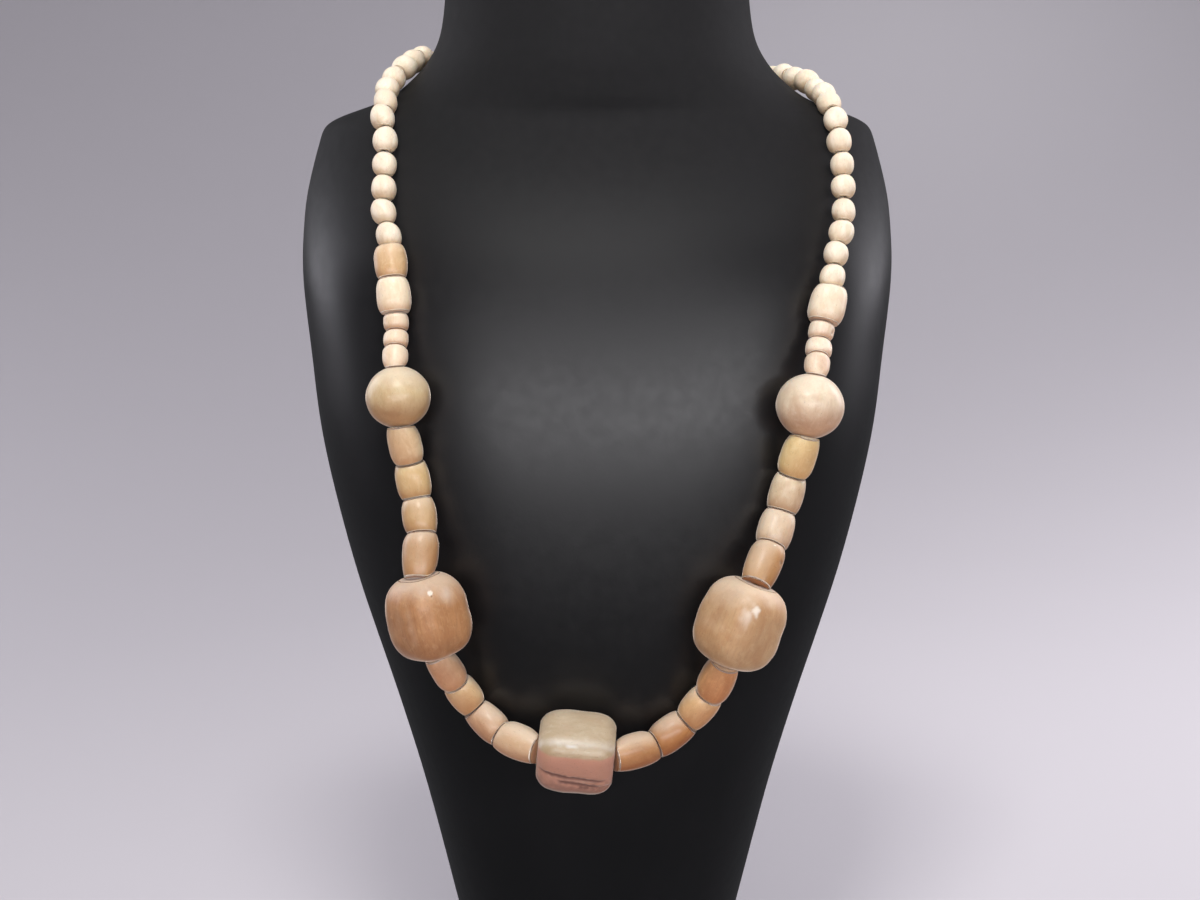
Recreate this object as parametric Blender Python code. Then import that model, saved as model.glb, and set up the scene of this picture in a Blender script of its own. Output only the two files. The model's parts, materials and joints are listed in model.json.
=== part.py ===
# A bone bead necklace resting on a plain satin black neck bust.
# Units are metres. +Z is up, the chest of the bust faces -Y and its flat foot stands at Z = 0.
import math

import bmesh
import bpy
from mathutils import Vector
from mathutils.bvhtree import BVHTree

# Neck bust: three levels carry its sizes, and the table below blends between them
BUST_HEIGHT = 0.394
NECK_WIDTH = 0.1045
NECK_FRONT = 0.049
NECK_BACK = 0.047
NECK_LEAN = 0.016
CHEST_WIDTH = 0.213
CHEST_FRONT = 0.0915
CHEST_BACK = 0.053
FOOT_WIDTH = 0.0885
FOOT_FRONT = 0.064
FOOT_BACK = 0.036
NECK_RIM_ROUND = 0.005
FOOT_RIM_ROUND = 0.0015
BUST_SIDES = 40
RINGS_PER_SECTION = 2
# How square a level is seen from above: 2 is an ellipse, more fills the corners
ROUND = 2.0
NECK_SQUARENESS = ROUND
CHEST_SQUARENESS = 2.6
FOOT_SQUARENESS = 2.4

# Upper sections, neck to chest: height as a share of BUST_HEIGHT, then how far
# the width, the front and the back have gone from the neck's size (0) to the chest's (1)
UPPER_SECTIONS = (
    # height, width, front, back
    (1.000, 0.000, 0.00, 0.00),
    (0.970, 0.000, 0.00, 0.00),
    (0.937, 0.010, 0.00, 0.00),
    (0.902, 0.048, 0.01, 0.04),
    (0.880, 0.136, 0.03, 0.14),
    (0.865, 0.239, 0.04, 0.26),
    (0.850, 0.383, 0.06, 0.43),
    (0.841, 0.544, 0.09, 0.54),
    (0.835, 0.679, 0.13, 0.62),
    (0.826, 0.823, 0.19, 0.71),
    (0.811, 0.875, 0.26, 0.82),
    (0.767, 0.963, 0.44, 0.96),
    (0.734, 0.992, 0.55, 1.00),
)
# Lower sections, chest to foot: the same shares, now from the foot's size (0) to the chest's (1)
LOWER_SECTIONS = (
    # height, width, front, back
    (0.690, 1.000, 0.50, 1.00),
    (0.620, 0.950, 0.74, 0.90),
    (0.560, 0.910, 0.88, 0.80),
    (0.494, 0.825, 0.97, 0.70),
    (0.418, 0.700, 1.00, 0.58),
    (0.335, 0.533, 0.91, 0.46),
    (0.246, 0.369, 0.71, 0.34),
    (0.173, 0.256, 0.52, 0.24),
    (0.071, 0.110, 0.22, 0.10),
    (0.000, 0.000, 0.00, 0.00),
)

# Beads: the string leaves BEAD_GAP between two faces, and each bead stands REST_GAP off the bust
BEAD_GAP = 0.0003
REST_GAP = 0.0003
BLOCK_LENGTH = 0.0275
BLOCK_WIDTH = 0.0256
CENTRE_LENGTH = 0.0252
CENTRE_WIDTH = 0.0240
BALL_LENGTH = 0.0198
BALL_WIDTH = 0.0218
BARREL_LENGTH = 0.0111
BARREL_WIDTH = 0.0115
SPACER_LENGTH = 0.0054
SPACER_WIDTH = 0.0088
SMALL_LENGTH = 0.0077
SMALL_WIDTH = 0.0096
SMALL_NECK_WIDTH = 0.0030
HOLE_WIDTH = 0.0022
THREAD_WIDTH = 0.0010
THREAD_ROUNDNESS = 1

# Form of each kind: its sizes, how full its outline is along the axis (2 is an arc, more is
# boxier), the share of its width left flat at each end, how square it is across, and its mesh
BEAD_KINDS = {
    # kind: length, width, fullness, flat end, squareness, sides, rings
    "centre": (CENTRE_LENGTH, CENTRE_WIDTH, 4.2, 0.70, 4.0, 16, 7),
    "block": (BLOCK_LENGTH, BLOCK_WIDTH, 3.4, 0.60, 4.2, 16, 7),
    "ball": (BALL_LENGTH, BALL_WIDTH, 2.0, 0.28, ROUND, 16, 9),
    "barrel": (BARREL_LENGTH, BARREL_WIDTH, 2.4, 0.74, 2.2, 12, 5),
    "spacer": (SPACER_LENGTH, SPACER_WIDTH, 3.2, 0.72, ROUND, 12, 4),
    "small": (SMALL_LENGTH, SMALL_WIDTH, 2.3, 0.46, ROUND, 10, 4),
}

# The string outwards from the centre bead: size as a share of the kind's own,
# turn about the thread in degrees, and the tone of its colour
CENTRE_ROW = ("centre", 1.00, 18.0, "horn")
LEFT_STRING = (
    # kind, size, turn, tone
    ("barrel", 0.99, 0.0, "cream"),
    ("barrel", 0.92, 20.0, "pink"),
    ("barrel", 0.92, 0.0, "cream"),
    ("barrel", 0.92, 30.0, "pink"),
    ("block", 0.99, -17.0, "brown"),
    ("barrel", 1.00, 0.0, "yellow"),
    ("barrel", 0.96, 15.0, "yellow"),
    ("barrel", 0.96, 0.0, "yellow"),
    ("barrel", 0.93, 10.0, "tan"),
    ("ball", 0.98, 0.0, "tan"),
    ("spacer", 0.98, 0.0, "cream"),
    ("spacer", 0.96, 0.0, "cream"),
    ("spacer", 0.98, 0.0, "cream"),
    ("barrel", 0.97, 0.0, "cream"),
    ("barrel", 0.93, 25.0, "orange"),
)
RIGHT_STRING = (
    # kind, size, turn, tone
    ("barrel", 1.00, 0.0, "orange"),
    ("barrel", 0.98, 15.0, "orange"),
    ("barrel", 0.98, 0.0, "orange"),
    ("barrel", 1.00, 20.0, "brown"),
    ("block", 1.02, 19.0, "tan"),
    ("barrel", 1.01, 0.0, "orange"),
    ("barrel", 1.00, 10.0, "cream"),
    ("barrel", 0.98, 0.0, "pink"),
    ("barrel", 1.01, 20.0, "yellow"),
    ("ball", 1.03, 0.0, "pink"),
    ("spacer", 0.98, 0.0, "pink"),
    ("spacer", 1.02, 0.0, "pink"),
    ("spacer", 1.00, 0.0, "pink"),
    ("barrel", 1.04, 0.0, "cream"),
)
SMALL_ROW = ("small", 1.00, 0.0, "cream")

# Route of the string of beads, once round from the centre bead by the left shoulder, behind
# the neck and back. A point is set from the front (across, height) or from above (across, back).
# Shares: across of half of CHEST_WIDTH, height of BUST_HEIGHT, back of NECK_BACK
ROUTE_POINTS = (
    # seen from, across, height or back
    ("front", -0.059, 0.321),
    ("front", -0.226, 0.323),
    ("front", -0.316, 0.331),
    ("front", -0.384, 0.354),
    ("front", -0.462, 0.430),
    ("front", -0.484, 0.482),
    ("front", -0.543, 0.535),
    ("front", -0.556, 0.601),
    ("front", -0.588, 0.645),
    ("front", -0.614, 0.704),
    ("front", -0.644, 0.758),
    ("front", -0.647, 0.810),
    ("top", -0.654, -0.700),
    ("top", -0.608, -0.400),
    ("top", -0.556, -0.110),
    ("top", -0.522, 0.190),
    ("top", -0.441, 0.490),
    ("top", -0.254, 0.730),
    ("top", 0.000, 0.820),
    ("top", 0.254, 0.740),
    ("top", 0.464, 0.500),
    ("top", 0.573, 0.210),
    ("top", 0.619, -0.050),
    ("top", 0.700, -0.350),
    ("front", 0.736, 0.829),
    ("front", 0.752, 0.790),
    ("front", 0.752, 0.750),
    ("front", 0.710, 0.700),
    ("front", 0.664, 0.655),
    ("front", 0.598, 0.590),
    ("front", 0.558, 0.520),
    ("front", 0.454, 0.465),
    ("front", 0.362, 0.418),
    ("front", 0.298, 0.347),
    ("front", 0.201, 0.322),
    ("front", 0.101, 0.315),
)

# Tones of the beads and of the bust: colour, roughness
TONES = {
    "cream": ((0.80, 0.62, 0.43), 0.38),
    "yellow": ((0.78, 0.56, 0.32), 0.36),
    "pink": ((0.78, 0.57, 0.43), 0.38),
    "tan": ((0.72, 0.47, 0.29), 0.33),
    "orange": ((0.72, 0.42, 0.21), 0.33),
    "brown": ((0.58, 0.36, 0.22), 0.33),
    "horn": ((0.60, 0.46, 0.36), 0.35),
    "thread": ((0.42, 0.33, 0.24), 0.80),
    "black": ((0.012, 0.012, 0.014), 0.42),
}

# How the string settles: spacing of the curve's points, the slope at which the thread comes
# down from a thick bead to a thin one, rounds of settling, and rounds of evening out
CURVE_STEP = 0.0015
LIFT_SLOPE = 0.45
SETTLE_ROUNDS = 8
OUT_SMOOTHING = 12
PATH_SMOOTHING = 6
LIFT_SMOOTHING = 3
GAP_ROUNDS = 3
FILL_ROUNDS = 6

# Edges that turn more than this many degrees are shaded sharp
SHARP_ANGLE = 50.0


def clear_scene():
    for thing in list(bpy.data.objects):
        bpy.data.objects.remove(thing, do_unlink=True)


def material_for(name, tone):
    colour, roughness = TONES[tone]
    finish = bpy.data.materials.new(name + "_finish")
    finish.use_nodes = True
    shader = finish.node_tree.nodes["Principled BSDF"]
    shader.inputs["Base Color"].default_value = (*colour, 1.0)
    shader.inputs["Roughness"].default_value = roughness
    shader.inputs["Metallic"].default_value = 0.0
    finish.diffuse_color = (*colour, 1.0)
    return finish


def place(name, mesh, tone):
    piece = bpy.data.objects.new(name, mesh)
    bpy.context.scene.collection.objects.link(piece)
    mesh.materials.append(material_for(name, tone))
    mesh.shade_smooth()
    mesh.set_sharp_from_angle(angle=math.radians(SHARP_ANGLE))


def loft(name, rings, closed):
    # Skins a row of rings; a closed row joins its last ring to its first, an open one is capped
    shape = bmesh.new()
    loops = [[shape.verts.new(point) for point in ring] for ring in rings]
    pairs = list(zip(loops, loops[1:]))
    if closed:
        pairs.append((loops[-1], loops[0]))
    for lower, upper in pairs:
        for i in range(len(lower)):
            j = (i + 1) % len(lower)
            shape.faces.new((lower[i], lower[j], upper[j], upper[i]))
    if not closed:
        shape.faces.new(list(reversed(loops[0])))
        shape.faces.new(loops[-1])
    bmesh.ops.recalc_face_normals(shape, faces=shape.faces)
    mesh = bpy.data.meshes.new(name)
    shape.to_mesh(mesh)
    shape.free()
    return mesh


def blend(low, high, share):
    return low + (high - low) * share


def bust_rows():
    # Each section's height, half width, front, back, squareness and lean, from the top down
    rows = []
    for height, width, front, back in UPPER_SECTIONS:
        rows.append((
            height * BUST_HEIGHT,
            blend(NECK_WIDTH, CHEST_WIDTH, width) / 2,
            blend(NECK_FRONT, CHEST_FRONT, front),
            blend(NECK_BACK, CHEST_BACK, back),
            blend(NECK_SQUARENESS, CHEST_SQUARENESS, front),
            blend(-NECK_LEAN, 0.0, width),
        ))
    for height, width, front, back in LOWER_SECTIONS:
        rows.append((
            height * BUST_HEIGHT,
            blend(FOOT_WIDTH, CHEST_WIDTH, width) / 2,
            blend(FOOT_FRONT, CHEST_FRONT, front),
            blend(FOOT_BACK, CHEST_BACK, back),
            blend(FOOT_SQUARENESS, CHEST_SQUARENESS, front),
            0.0,
        ))
    return rows


def smooth_between(before, start, end, after, share):
    # Catmull-Rom blend of two neighbours, for numbers, vectors or rows of numbers
    s2 = share * share
    s3 = s2 * share
    weights = (
        -0.5 * s3 + s2 - 0.5 * share,
        1.5 * s3 - 2.5 * s2 + 1.0,
        -1.5 * s3 + 2.0 * s2 + 0.5 * share,
        0.5 * s3 - 0.5 * s2,
    )
    parts = (before, start, end, after)
    if isinstance(start, Vector):
        total = Vector((0.0, 0.0, 0.0))
        for weight, part in zip(weights, parts):
            total += part * weight
        return total
    return tuple(sum(w * p[i] for w, p in zip(weights, parts)) for i in range(len(start)))


def signed_power(value, power):
    return math.copysign(abs(value) ** power, value)


def bust_ring(height, half_width, front, back, squareness, lean):
    ring = []
    for i in range(BUST_SIDES):
        angle = 2 * math.pi * i / BUST_SIDES
        across = half_width * signed_power(math.cos(angle), 2 / squareness)
        rearward = signed_power(math.sin(angle), 2 / squareness)
        depth = rearward * (back if rearward > 0 else front)
        ring.append(Vector((across, lean + depth, height)))
    return ring


def shrunk(ring, inset, height):
    # The same ring drawn in by an inset and moved to another height, for a rounded rim
    middle = sum(ring, Vector()) / len(ring)
    result = []
    for point in ring:
        spoke = Vector((point.x - middle.x, point.y - middle.y, 0.0))
        reach = max(spoke.length - inset, 0.0)
        inner = spoke.normalized() * reach
        result.append(Vector((middle.x + inner.x, middle.y + inner.y, height)))
    return result


def make_bust():
    rows = bust_rows()
    last = len(rows) - 1
    rings = []
    for i in range(last):
        around = [rows[max(0, i - 1)], rows[i], rows[i + 1], rows[min(last, i + 2)]]
        for step in range(RINGS_PER_SECTION):
            rings.append(bust_ring(*smooth_between(*around, step / RINGS_PER_SECTION)))
    rings.append(bust_ring(*rows[last]))
    top, foot = rings[0], rings[-1]
    # The rim's quarter round starts on the wall, passes its middle at 45 degrees and ends on top
    rim_middle = NECK_RIM_ROUND * (1 - math.cos(math.radians(45)))
    rings[0] = shrunk(top, 0.0, BUST_HEIGHT - NECK_RIM_ROUND)
    rings.insert(0, shrunk(top, rim_middle, BUST_HEIGHT - rim_middle))
    rings.insert(0, shrunk(top, NECK_RIM_ROUND, BUST_HEIGHT))
    rings[-1] = shrunk(foot, 0.0, FOOT_RIM_ROUND)
    rings.append(shrunk(foot, FOOT_RIM_ROUND, 0.0))
    mesh = loft("neck_bust", rings, closed=False)
    place("neck_bust", mesh, "black")
    return mesh


def surface_of(mesh):
    shape = bmesh.new()
    shape.from_mesh(mesh)
    tree = BVHTree.FromBMesh(shape)
    shape.free()
    return tree


def landed(surface, seen_from, across, second):
    # Where a route point meets the bust, looking from the front or from above
    far = 2 * BUST_HEIGHT
    x = across * CHEST_WIDTH / 2
    if seen_from == "front":
        hit = surface.ray_cast(Vector((x, -far, second * BUST_HEIGHT)), Vector((0, 1, 0)))
    else:
        hit = surface.ray_cast(Vector((x, second * NECK_BACK, far)), Vector((0, 0, -1)))
    return hit[0]


def route_on(surface):
    # Fine closed curve over the bust's surface through the route's few points
    points = [landed(surface, *row) for row in ROUTE_POINTS]
    count = len(points)
    curve = []
    for i in range(count):
        around = [points[(i + k) % count] for k in (-1, 0, 1, 2)]
        steps = max(1, round((around[2] - around[1]).length / CURVE_STEP))
        for step in range(steps):
            curve.append(smooth_between(*around, step / steps))
    return curve


def smoothed(values, rounds):
    # Evens out a closed row of numbers or vectors
    for _ in range(rounds):
        count = len(values)
        values = [
            (values[i - 1] + values[i] * 2 + values[(i + 1) % count]) / 4
            for i in range(count)
        ]
    return values


class Strand:
    # A closed curve with its running length, read from its first point in either direction
    def __init__(self, points, outs):
        self.points = points
        self.outs = outs
        self.marks = [0.0]
        for a, b in zip(points, points[1:] + points[:1]):
            self.marks.append(self.marks[-1] + (b - a).length)
        self.length = self.marks[-1]

    def spot(self, along):
        along = along % self.length
        low, high = 0, len(self.points)
        while high - low > 1:
            middle = (low + high) // 2
            if self.marks[middle] <= along:
                low = middle
            else:
                high = middle
        share = (along - self.marks[low]) / (self.marks[low + 1] - self.marks[low])
        after = (low + 1) % len(self.points)
        return low, after, share

    def at(self, along):
        low, after, share = self.spot(along)
        return self.points[low].lerp(self.points[after], share)

    def out_at(self, along):
        low, after, share = self.spot(along)
        return self.outs[low].lerp(self.outs[after], share).normalized()


def cross_radius(squareness, angle):
    # Radius of a rounded square of half width 1 at an angle
    reach = abs(math.cos(angle)) ** squareness + abs(math.sin(angle)) ** squareness
    return reach ** (-1 / squareness)


def corner_angle(i, sides):
    return 2 * math.pi * (i + 0.5) / sides


def inward_reach(kind, size, turn):
    # How far a bead reaches from its axis towards the bust
    _, width, _, _, squareness, sides, _ = BEAD_KINDS[kind]
    reach = 0.0
    for i in range(sides):
        angle = corner_angle(i, sides)
        reach = max(reach, cross_radius(squareness, angle) * math.cos(angle - math.radians(turn)))
    return reach * width * size / 2


def bead_length(kind, size):
    return BEAD_KINDS[kind][0] * size


def end_radius(kind, size):
    return BEAD_KINDS[kind][1] * size / 2 * BEAD_KINDS[kind][3]


def cross_ring(centre, axis, out, turn, radius, sides, squareness):
    # A ring across the axis, with its first side turned from the direction out of the bust
    level_out = (out - axis * out.dot(axis)).normalized()
    level_side = axis.cross(level_out)
    points = []
    for i in range(sides):
        angle = corner_angle(i, sides)
        reach = radius * cross_radius(squareness, angle)
        turned = angle + math.radians(turn)
        spoke = level_out * math.cos(turned) + level_side * math.sin(turned)
        points.append(centre + spoke * reach)
    return points


class Bead:
    # One bead on the string: its two hole ends and the direction out of the bust
    def __init__(self, row, start, end, out):
        self.kind, self.size, self.turn, self.tone = row
        self.start = start
        self.end = end
        self.middle = (start + end) / 2
        self.axis = (end - start).normalized()
        self.out = out

    def ring(self, along, radius, sides, squareness):
        centre = self.middle + self.axis * along
        return cross_ring(centre, self.axis, self.out, self.turn, radius, sides, squareness)

    def outer_rings(self):
        _, width, fullness, flat, squareness, sides, count = BEAD_KINDS[self.kind]
        half = (self.end - self.start).length / 2
        radius = width * self.size / 2
        cut = (1 - flat ** fullness) ** (1 / fullness)
        rings = []
        for i in range(count):
            across = -math.cos(math.pi * i / (count - 1))
            # More rings near the ends, where the outline turns
            share = across * cut
            swell = (1 - abs(share) ** fullness) ** (1 / fullness)
            rings.append(self.ring(across * half, radius * swell, sides, squareness))
        return rings

    def drilled_mesh(self, name):
        sides = BEAD_KINDS[self.kind][5]
        half = (self.end - self.start).length / 2
        hole_start = self.ring(-half, HOLE_WIDTH / 2, sides, ROUND)
        hole_end = self.ring(half, HOLE_WIDTH / 2, sides, ROUND)
        return loft(name, [hole_start, *self.outer_rings(), hole_end], closed=True)


def bend_gap(strand, before, row, near, far):
    # The gap to leave after a bead, so that the edges of two tilted faces keep BEAD_GAP
    tilt = before.axis.angle(strand.at(far) - strand.at(near))
    tilt = min(tilt, math.pi - tilt)
    face = min(end_radius(row[0], row[1]), end_radius(before.kind, before.size))
    return BEAD_GAP + 2 * face * math.tan(tilt / 2)


def string_beads(strand, rows, before, edge, direction, stretch=1.0):
    # Threads beads along the strand one after the other, from the edge of the bead before them
    beads = []
    for row in rows:
        length = bead_length(row[0], row[1]) * stretch
        gap = BEAD_GAP
        for _ in range(GAP_ROUNDS):
            near = edge + direction * gap
            far = near + direction * length
            gap = bend_gap(strand, before, row, near, far)
        near = edge + direction * gap
        far = near + direction * length
        before = Bead(row, strand.at(near), strand.at(far), strand.out_at((near + far) / 2))
        beads.append(before)
        edge = far
    return beads, edge


def fill_small(strand, before, edge, direction, room):
    # As many small beads as fit in the room, then stretched a little to end at its far side
    rows = [SMALL_ROW] * int(room / (SMALL_LENGTH + BEAD_GAP))
    while len(rows) > 1:
        beads, reached = string_beads(strand, rows, before, edge, direction)
        if abs(reached - edge) <= room:
            break
        rows.pop()
    stretch = 1.0
    for _ in range(FILL_ROUNDS):
        beads, reached = string_beads(strand, rows, before, edge, direction, stretch)
        stretch += (room - abs(reached - edge)) / (len(rows) * SMALL_LENGTH)
    return beads


def thread_beads(strand):
    # The whole string on the strand: the centre bead sits astride its first point
    half = bead_length(CENTRE_ROW[0], CENTRE_ROW[1]) / 2
    centre = Bead(CENTRE_ROW, strand.at(half), strand.at(-half), strand.out_at(0.0))
    left, left_edge = string_beads(strand, LEFT_STRING, centre, half, 1.0)
    right, right_edge = string_beads(strand, RIGHT_STRING, centre, -half, -1.0)
    back = strand.length / 2
    left_room = back - left_edge - BEAD_GAP / 2
    right_room = strand.length + right_edge - back - BEAD_GAP / 2
    left_small = fill_small(strand, left[-1], left_edge, 1.0, left_room)
    right_small = fill_small(strand, right[-1], right_edge, -1.0, right_room)
    return [centre], left, right, left_small, right_small


def clearance(surface, bead):
    # The least distance from the bead's outer surface to the bust, below zero where it digs in
    distances = []
    for ring in bead.outer_rings():
        for point in ring:
            spot, normal, _, _ = surface.find_nearest(point)
            distances.append((point - spot).dot(normal))
    return min(distances)


def settle_string(surface):
    # Lifts the strand off the bust by what each bead needs, easing between thick and thin beads,
    # and goes round until every bead clears the bust by REST_GAP
    landings = [surface.find_nearest(point) for point in route_on(surface)]
    spots = [landing[0] for landing in landings]
    outs = [out.normalized() for out in smoothed([landing[1] for landing in landings], OUT_SMOOTHING)]
    thin = SMALL_WIDTH / 2 + REST_GAP
    lifts = [thin] * len(spots)
    raised = {}
    for _ in range(SETTLE_ROUNDS):
        points = [spot + out * lift for spot, out, lift in zip(spots, outs, lifts)]
        strand = Strand(smoothed(points, PATH_SMOOTHING), outs)
        groups = thread_beads(strand)
        needs = []
        for group, beads in enumerate(groups):
            for number, bead in enumerate(beads):
                key = (group, number)
                raised[key] = max(0.0, raised.get(key, 0.0) + REST_GAP - clearance(surface, bead))
                half = (bead.end - bead.start).length / 2
                need = inward_reach(bead.kind, bead.size, bead.turn) + REST_GAP + raised[key]
                needs.append((bead.middle, half, need))
        lifts = []
        for point in strand.points:
            lift = thin
            for middle, half, need in needs:
                past = max(0.0, (point - middle).length - half)
                lift = max(lift, need - past * LIFT_SLOPE)
            lifts.append(lift)
        lifts = smoothed(lifts, LIFT_SMOOTHING)
    return groups


def small_string_mesh(name, beads):
    # Small beads fused into one body by a thin neck round the thread between each two
    sides = BEAD_KINDS["small"][5]
    rings = beads[0].outer_rings()
    for bead, following in zip(beads, beads[1:]):
        middle = (bead.end + following.start) / 2
        axis = (bead.axis + following.axis).normalized()
        out = bead.out + following.out
        rings.append(cross_ring(middle, axis, out, bead.turn, SMALL_NECK_WIDTH / 2, sides, ROUND))
        rings += following.outer_rings()
    return loft(name, rings, closed=False)


def thread_through(centre, left, right):
    # A thin round thread, straight inside each bead and bent only in the gaps
    stops = []
    for bead in [*reversed(right), centre]:
        stops += [bead.end, bead.start]
    for bead in left:
        stops += [bead.start, bead.end]
    path = bpy.data.curves.new("thread_path", "CURVE")
    path.dimensions = "3D"
    path.bevel_depth = THREAD_WIDTH / 2
    path.bevel_resolution = THREAD_ROUNDNESS
    path.use_fill_caps = True
    spline = path.splines.new("POLY")
    spline.points.add(len(stops) - 1)
    for point, stop in zip(spline.points, stops):
        point.co = (*stop, 1.0)
    path.materials.append(material_for("thread", "thread"))
    bpy.context.scene.collection.objects.link(bpy.data.objects.new("thread", path))


def make_necklace(surface):
    (centre,), left, right, left_small, right_small = settle_string(surface)
    place("centre_bead", centre.drilled_mesh("centre_bead"), centre.tone)
    for side, beads in (("left", left), ("right", right)):
        counts = {}
        for bead in beads:
            counts[bead.kind] = counts.get(bead.kind, 0) + 1
            name = f"{side}_{bead.kind}_bead"
            if bead.kind in ("barrel", "spacer"):
                name += f"_{counts[bead.kind]}"
            place(name, bead.drilled_mesh(name), bead.tone)
    for name, beads in (("left_small_beads", left_small), ("right_small_beads", right_small)):
        place(name, small_string_mesh(name, beads), beads[0].tone)
    thread_through(centre, left, right)


def stand_at_origin():
    # Moves the whole thing so that the middle of its box's underside is the origin
    corners = []
    for piece in bpy.data.objects:
        if piece.type == "MESH":
            corners += [vertex.co for vertex in piece.data.vertices]
    lowest = Vector([min(corner[i] for corner in corners) for i in range(3)])
    highest = Vector([max(corner[i] for corner in corners) for i in range(3)])
    middle = (lowest + highest) / 2
    for piece in bpy.data.objects:
        piece.location = (-middle.x, -middle.y, -lowest.z)


def main():
    clear_scene()
    bust_mesh = make_bust()
    make_necklace(surface_of(bust_mesh))
    stand_at_origin()


main()
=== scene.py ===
# Looks of a bone bead necklace on its satin black neck bust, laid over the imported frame.
# Each bead is turned anew on the place of its own solid, drilled, worn and strung on a twisted thread.
import cmath
import json
import math
import random

import bmesh
import bpy
from mathutils import Matrix, Vector, noise


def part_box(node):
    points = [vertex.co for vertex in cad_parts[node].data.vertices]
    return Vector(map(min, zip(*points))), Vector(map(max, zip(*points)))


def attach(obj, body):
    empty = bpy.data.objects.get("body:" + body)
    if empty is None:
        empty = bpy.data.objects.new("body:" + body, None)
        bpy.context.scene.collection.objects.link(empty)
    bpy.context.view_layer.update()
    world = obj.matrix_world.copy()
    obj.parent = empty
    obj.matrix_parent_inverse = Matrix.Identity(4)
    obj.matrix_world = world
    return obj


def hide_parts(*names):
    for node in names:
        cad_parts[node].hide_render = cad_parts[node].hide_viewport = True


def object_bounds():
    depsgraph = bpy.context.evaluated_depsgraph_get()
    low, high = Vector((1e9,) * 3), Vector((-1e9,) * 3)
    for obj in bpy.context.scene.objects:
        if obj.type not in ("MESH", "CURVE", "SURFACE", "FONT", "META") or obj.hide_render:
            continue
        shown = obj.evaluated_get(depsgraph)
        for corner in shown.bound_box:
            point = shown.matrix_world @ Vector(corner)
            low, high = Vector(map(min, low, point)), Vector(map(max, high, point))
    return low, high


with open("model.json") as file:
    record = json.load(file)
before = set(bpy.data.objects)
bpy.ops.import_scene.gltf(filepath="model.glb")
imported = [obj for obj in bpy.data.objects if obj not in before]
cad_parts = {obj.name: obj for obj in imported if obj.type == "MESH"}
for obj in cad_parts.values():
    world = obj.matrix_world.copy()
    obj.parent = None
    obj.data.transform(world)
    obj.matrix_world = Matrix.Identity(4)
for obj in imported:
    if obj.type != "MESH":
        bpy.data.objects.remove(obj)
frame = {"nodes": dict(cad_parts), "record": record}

cadLow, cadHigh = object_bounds()
nodes = frame["nodes"]
scene = bpy.context.scene
mm = 0.001
print("frame loaded:", len(nodes), "nodes")


# Camera

cameraSettings = {
    "place": (0.001, -0.6445, 0.32503),
    "lookDown": 10.0,  # degrees below the horizon
    "lens": 55.15,
    "sensor": 36.0,
}


def makeCamera():
    cam = bpy.data.cameras.new("camera")
    cam.lens = cameraSettings["lens"]
    cam.sensor_width = cameraSettings["sensor"]
    camera = bpy.data.objects.new("camera", cam)
    camera.location = cameraSettings["place"]
    camera.rotation_euler = (math.radians(90 - cameraSettings["lookDown"]), 0, 0)
    scene.collection.objects.link(camera)
    scene.camera = camera


makeCamera()
print("camera set")


# Reading the string's places from the solids

stringSettings = {
    "threadWidth": 1.0 * mm,
    "holeRadius": 1.1 * mm,
    "ringsPerSmallBead": 5,  # four on the bead and one on the neck to the next
    "smallSides": 10,
    "mergeDistance": 0.001 * mm,
    "flatAngle": 0.005,  # faces that bend less than this are one flat face
    "middleBand": 0.3 * mm,  # a block is read from its corners this near its middle
}


def mergedShape(name):
    # a CAD mesh is loose triangles, so its doubles are merged before it is walked
    shape = bmesh.new()
    shape.from_mesh(nodes[name].data)
    bmesh.ops.remove_doubles(shape, verts=shape.verts, dist=stringSettings["mergeDistance"])
    return shape


def flatFaces(shape):
    flat = stringSettings["flatAngle"]
    bmesh.ops.dissolve_limit(shape, angle_limit=flat, verts=shape.verts, edges=shape.edges)
    return shape


def nextRing(ring, seen):
    neighbours = {edge.other_vert(vert) for vert in ring for edge in vert.link_edges} - seen
    return sorted(neighbours, key=lambda vert: vert.index)


def walkRings(ring):
    # a lofted solid's rings as middles and reaches, one after the other from its end ring
    seen = set(ring)
    rings = []
    while ring:
        middle = sum((vert.co for vert in ring), Vector()) / len(ring)
        rings.append((middle, max((vert.co - middle).length for vert in ring)))
        ring = nextRing(ring, seen)
        seen |= set(ring)
    return rings


def threadMiddles():
    # the thread bends only between beads, so each two of its rings are one bead's hole ends
    shape = mergedShape("thread")
    shape.verts.index_update()
    shape.verts.ensure_lookup_table()
    ring = [shape.verts[0]]
    seen = set(ring)
    while ring:
        last = ring[0].co
        ring = nextRing(ring, seen)
        seen |= set(ring)
    reach = stringSettings["threadWidth"] * 1.1
    endRing = [vert for vert in shape.verts if (vert.co - last).length < reach]
    middles = [middle for middle, _ in walkRings(endRing)]
    shape.free()
    return middles


def smallBeadEnds(name):
    # the string's end cap is the face with as many corners as its beads have sides
    shape = flatFaces(mergedShape(name))
    shape.verts.index_update()
    cap = [face for face in shape.faces if len(face.verts) == stringSettings["smallSides"]][0]
    rings = walkRings(sorted(cap.verts, key=lambda vert: vert.index))
    shape.free()
    step = stringSettings["ringsPerSmallBead"]
    beads = []
    for i in range(0, len(rings), step):
        bead = rings[i:i + step - 1]
        beads.append({
            "name": name,
            "kind": "small",
            "halfWidth": max(reach for _, reach in bead),
            "start": bead[0][0],
            "end": bead[-1][0],
        })
    return beads


def alongUpwards(start, end):
    # beads are drawn upwards, and lying ones to the right, so that their marks have a sure place
    if (end - start).dot(Vector((0.3, 0, 1))) < 0:
        return end, start
    return start, end


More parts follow.
